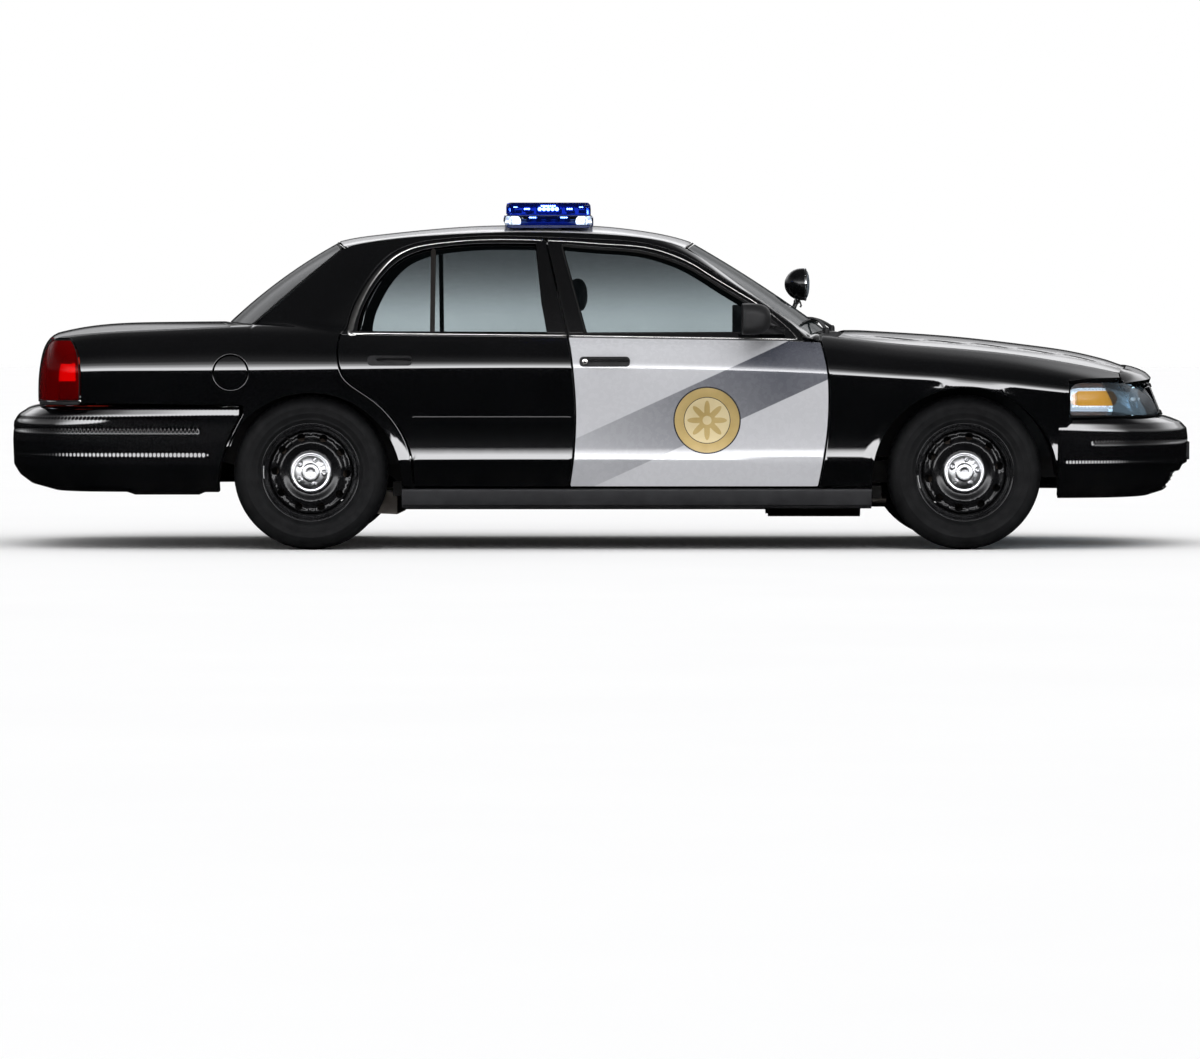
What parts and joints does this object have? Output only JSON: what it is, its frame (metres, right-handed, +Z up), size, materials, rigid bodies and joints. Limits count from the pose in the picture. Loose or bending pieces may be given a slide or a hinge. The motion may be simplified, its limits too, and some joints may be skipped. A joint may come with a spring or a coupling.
{
  "type": "four-door police patrol sedan",
  "caption": "Black and white police patrol sedan with opening doors, hood and trunk, steered front wheels, roof light bar and a pillar spotlight.",
  "frame": {"origin": "on the ground, at the middle of the length and width", "axes": "+X towards the front of the car, +Y to its left, +Z up"},
  "size_m": [5.388, 2.24, 1.553],
  "materials": {
    "body_black": "gloss",
    "body_white": "gloss",
    "rocker_grey": "satin",
    "frame_black": "satin",
    "body_underside": "matt",
    "grille_black": "satin",
    "lamp_clear": "gloss",
    "lamp_red": "gloss",
    "window_glass": "gloss",
    "liner_black": "grained",
    "radiator_metal": "satin",
    "engine_metal": "cast",
    "exhaust_steel": "satin",
    "tank_black": "satin",
    "axle_iron": "cast",
    "trim_grey": "grained",
    "seat_cloth": "woven",
    "beacon_blue": "gloss",
    "chrome_trim": "polished",
    "tyre_rubber": "matt",
    "wheel_black": "satin"
  },
  "bodies": {
    "root": {"frame_rails": "frame_black", "frame_crossmembers": "frame_black", "floor_pan": "body_underside", "firewall": "body_underside", "sills": "rocker_grey", "centre_pillars": "body_black", "quarter_panels": "body_black", "roof_frames": "body_black", "roof_panel": "body_white", "front_fenders": "body_black", "header_panel": "body_black", "grille": "grille_black", "headlamps": "lamp_clear", "front_bumper": "body_black", "rear_bumper": "body_black", "tail_lamps": "lamp_red", "windshield": "window_glass", "rear_window": "window_glass", "wheel_liners": "liner_black", "inner_fenders": "body_black", "radiator": "radiator_metal", "engine": "engine_metal", "exhaust": "exhaust_steel", "fuel_tank": "tank_black", "rear_axle": "axle_iron", "gearbox_and_driveshaft": "engine_metal", "front_control_arms": "axle_iron", "parcel_shelf": "trim_grey", "dashboard": "trim_grey", "front_seats": "seat_cloth", "rear_seat": "seat_cloth", "light_bar": "beacon_blue", "spotlight": "chrome_trim"},
    "hood": {"hood": "body_black"},
    "trunk_lid": {"trunk_lid": "body_black"},
    "front_door_left": {"front_door_left": "body_white", "front_door_glass_left": "window_glass", "door_mirror_left": "liner_black"},
    "rear_door_left": {"rear_door_left": "body_black", "rear_door_glass_left": "window_glass"},
    "front_knuckle_left": {"front_knuckle_left": "axle_iron"},
    "front_wheel_left": {"front_tyre_left": "tyre_rubber", "front_wheel_left": "wheel_black"},
    "rear_wheel_left": {"rear_tyre_left": "tyre_rubber", "rear_wheel_left": "wheel_black"},
    "front_door_right": {"front_door_right": "body_white", "front_door_glass_right": "window_glass", "door_mirror_right": "liner_black"},
    "rear_door_right": {"rear_door_right": "body_black", "rear_door_glass_right": "window_glass"},
    "front_knuckle_right": {"front_knuckle_right": "axle_iron"},
    "front_wheel_right": {"front_tyre_right": "tyre_rubber", "front_wheel_right": "wheel_black"},
    "rear_wheel_right": {"rear_tyre_right": "tyre_rubber", "rear_wheel_right": "wheel_black"},
    "steering_wheel": {"steering_wheel": "trim_grey"},
    "fuel_lid": {"fuel_lid": "body_black"}
  },
  "joints": [
    {"name": "front_door_left_hinge", "type": "hinge", "parent": "root", "child": "front_door_left", "pos_m": [0.966, 0.97, 0.6], "axis": [0, 0, -1], "range_deg": [0, 65]},
    {"name": "rear_door_left_hinge", "type": "hinge", "parent": "root", "child": "rear_door_left", "pos_m": [-0.167, 0.971, 0.6], "axis": [0, 0, -1], "range_deg": [0, 65]},
    {"name": "front_door_right_hinge", "type": "hinge", "parent": "root", "child": "front_door_right", "pos_m": [0.966, -0.97, 0.6], "axis": [0, 0, 1], "range_deg": [0, 65]},
    {"name": "rear_door_right_hinge", "type": "hinge", "parent": "root", "child": "rear_door_right", "pos_m": [-0.167, -0.971, 0.6], "axis": [0, 0, 1], "range_deg": [0, 65]},
    {"name": "hood_hinge", "type": "hinge", "parent": "root", "child": "hood", "pos_m": [1.01, 0, 0.93], "axis": [0, -1, 0], "range_deg": [0, 48]},
    {"name": "trunk_hinge", "type": "hinge", "parent": "root", "child": "trunk_lid", "pos_m": [-1.722, 0, 1.012], "axis": [0, 1, 0], "range_deg": [0, 70]},
    {"name": "steer_left", "type": "hinge", "parent": "root", "child": "front_knuckle_left", "pos_m": [1.618, 0.745, 0.345], "axis": [0, 0, 1], "range_deg": [-33, 33]},
    {"name": "front_wheel_left_spin", "type": "hinge", "parent": "front_knuckle_left", "child": "front_wheel_left", "pos_m": [1.618, 0.805, 0.345], "axis": [0, 1, 0], "continuous": true},
    {"name": "rear_wheel_left_spin", "type": "hinge", "parent": "root", "child": "rear_wheel_left", "pos_m": [-1.296, 0.825, 0.345], "axis": [0, 1, 0], "continuous": true},
    {"name": "steer_right", "type": "hinge", "parent": "root", "child": "front_knuckle_right", "pos_m": [1.618, -0.745, 0.345], "axis": [0, 0, 1], "range_deg": [-33, 33]},
    {"name": "front_wheel_right_spin", "type": "hinge", "parent": "front_knuckle_right", "child": "front_wheel_right", "pos_m": [1.618, -0.805, 0.345], "axis": [0, 1, 0], "continuous": true},
    {"name": "rear_wheel_right_spin", "type": "hinge", "parent": "root", "child": "rear_wheel_right", "pos_m": [-1.296, -0.825, 0.345], "axis": [0, 1, 0], "continuous": true},
    {"name": "steering_wheel_turn", "type": "hinge", "parent": "root", "child": "steering_wheel", "pos_m": [0.64, 0.37, 0.85], "axis": [-0.8713, 0, 0.4907], "range_deg": [-500, 500]},
    {"name": "fuel_lid_hinge", "type": "hinge", "parent": "root", "child": "fuel_lid", "pos_m": [-1.571, -0.975, 0.792], "axis": [0, 0, 1], "range_deg": [0, 95]}
  ],
  "couplings": [
    {"joint": "steer_right", "follows": "steer_left", "ratio": 1},
    {"joint": "steering_wheel_turn", "follows": "steer_left", "ratio": 15}
  ]
}
